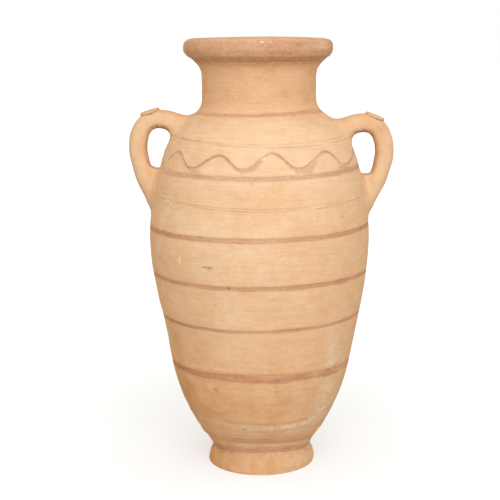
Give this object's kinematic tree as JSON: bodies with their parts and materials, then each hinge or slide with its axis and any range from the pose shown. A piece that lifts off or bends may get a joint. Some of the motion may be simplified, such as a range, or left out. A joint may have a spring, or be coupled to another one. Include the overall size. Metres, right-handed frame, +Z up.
{
  "type": "terracotta garden amphora",
  "caption": "Tall terracotta garden amphora with a rolled rim, strap handles with thumb pads, slip bands and an incised wave round the shoulder.",
  "frame": {"origin": "centre of the foot's underside, on the surface that the pot stands on", "axes": "+Z up along the pot's axis; +X towards the right handle; -Y faces the viewer of the picture"},
  "size_m": [0.4267, 0.355, 0.7],
  "materials": {
    "clay": "matt unglazed terracotta",
    "slip": "matt pink-brown slip"
  },
  "bodies": {
    "root": {"foot_ring": "clay", "lower_body": "clay", "belly": "clay", "shoulder": "clay", "neck": "clay", "rim_collar": "clay", "handle_left": "clay", "handle_right": "clay", "thumb_pad_left": "clay", "thumb_pad_right": "clay", "slip_band_foot": "slip", "slip_band_lower": "slip", "slip_band_low_belly": "slip", "slip_band_mid_belly": "slip", "slip_band_high_belly": "slip", "slip_band_wave": "slip", "slip_line_neck": "slip", "slip_band_rim": "slip"}
  },
  "joints": []
}
